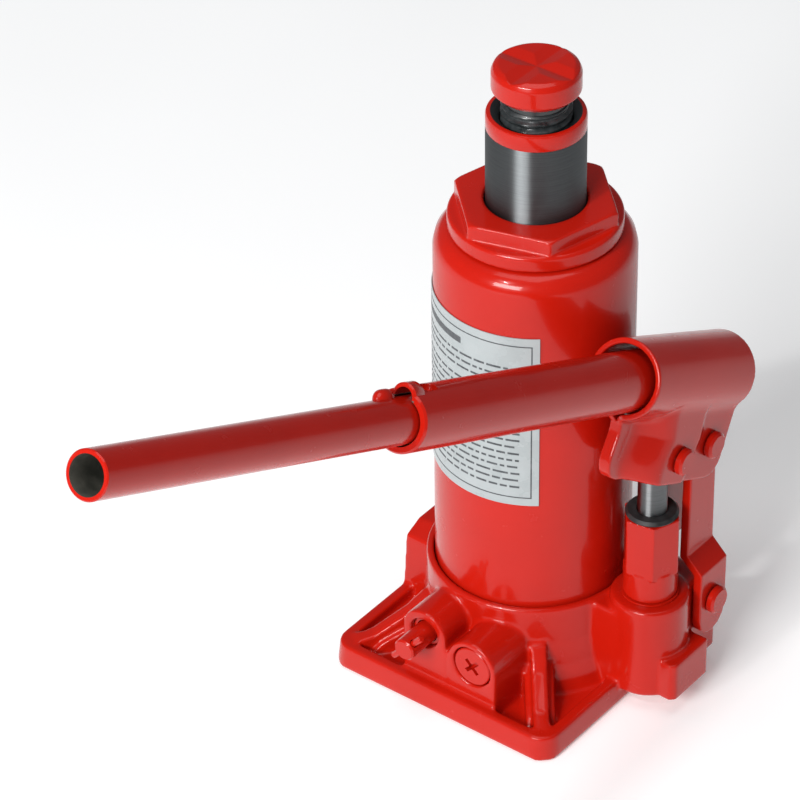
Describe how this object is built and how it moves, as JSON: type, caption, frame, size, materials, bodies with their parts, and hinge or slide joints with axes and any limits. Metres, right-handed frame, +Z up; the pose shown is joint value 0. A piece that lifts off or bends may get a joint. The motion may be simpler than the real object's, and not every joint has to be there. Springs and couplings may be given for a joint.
{
  "type": "hydraulic bottle jack",
  "caption": "Red hydraulic bottle jack with a raised ram, threaded extension screw and saddle, side pump, linkage and a two-part tubular handle.",
  "frame": {"origin": "where the cylinder axis meets the floor, in the base's underside", "axes": "+Z up along the ram, +X to the pump, -Y to the operator and the handle's free end"},
  "size_m": [0.1201, 0.3437, 0.2794],
  "materials": {
    "cast_red": "gloss red enamel over a casting",
    "red_paint": "gloss red enamel",
    "steel": "ground",
    "black_steel": "black oxide",
    "brass": "plain",
    "rubber": "matt",
    "label": "printed film"
  },
  "bodies": {
    "base": {"base_casting": "cast_red", "reservoir_tank": "red_paint", "top_nut": "red_paint", "instruction_label": "label", "pressure_cylinder": "steel", "tank_foot_gasket": "rubber", "cylinder_gasket": "brass", "ram_wiper_ring": "rubber", "oil_filler_plug": "rubber", "passage_plug": "steel", "plug_screw": "red_paint", "relief_spring": "steel", "relief_ball": "steel", "release_valve_gland": "red_paint", "release_valve_seal": "rubber", "release_ball": "steel", "delivery_ball": "steel", "pump_cylinder": "red_paint", "pump_gasket": "brass", "pump_wiper_cap": "rubber", "suction_ball": "steel", "suction_spring": "steel"},
    "ram": {"ram": "steel", "ram_piston_head": "steel", "ram_cup_seal": "rubber", "ram_seal_nut": "steel"},
    "screw": {"extension_screw": "black_steel"},
    "saddle": {"saddle": "red_paint"},
    "release_valve": {"release_valve_stem": "red_paint", "release_valve_cross_pin": "red_paint"},
    "piston": {"pump_piston": "steel"},
    "links": {"link_inner": "red_paint", "link_outer": "red_paint", "lower_link_pin": "red_paint", "lower_link_pin_clip": "red_paint"},
    "socket": {"handle_socket": "red_paint", "piston_pin": "red_paint", "piston_pin_clip": "red_paint", "upper_link_pin": "red_paint", "upper_link_pin_clip": "red_paint"},
    "handle_rear": {"handle_rear_tube": "red_paint"},
    "handle_front": {"handle_front_tube": "red_paint"}
  },
  "joints": [
    {"name": "ram_slide", "type": "slide", "parent": "base", "child": "ram", "axis": [0, 0, 1], "range_m": [-0.029, 0.1]},
    {"name": "screw_slide", "type": "slide", "parent": "ram", "child": "screw", "axis": [0, 0, 1], "range_m": [-0.0068, 0.048]},
    {"name": "saddle_turn", "type": "hinge", "parent": "screw", "child": "saddle", "pos_m": [0, 0, 0.237], "axis": [0, 0, 1], "continuous": true},
    {"name": "release_valve_turn", "type": "hinge", "parent": "base", "child": "release_valve", "pos_m": [-0.0095, -0.054, 0.0295], "axis": [0, -1, 0], "range_deg": [0, 540]},
    {"name": "link_swing", "type": "hinge", "parent": "base", "child": "links", "pos_m": [0.0523, 0.0198, 0.0355], "axis": [1, 0, 0], "range_deg": [-1.7, 1.4]},
    {"name": "handle_pump", "type": "hinge", "parent": "links", "child": "socket", "pos_m": [0.0523, 0.0206, 0.1032], "axis": [1, 0, 0], "range_deg": [-20, 25]},
    {"name": "piston_slide", "type": "slide", "parent": "base", "child": "piston", "axis": [0, 0, 1], "range_m": [-0.0086, 0.0069]},
    {"name": "handle_pull", "type": "slide", "parent": "socket", "child": "handle_rear", "axis": [0, -0.9094, 0.416], "range_m": [0, 0.05]},
    {"name": "handle_extend", "type": "slide", "parent": "handle_rear", "child": "handle_front", "axis": [0, -0.9094, 0.416], "range_m": [0, 0.03]}
  ],
  "couplings": [
    {"joint": "link_swing", "follows": "handle_pump", "ratio": -0.064},
    {"joint": "piston_slide", "follows": "handle_pump", "m_per_rad": -0.0194}
  ]
}
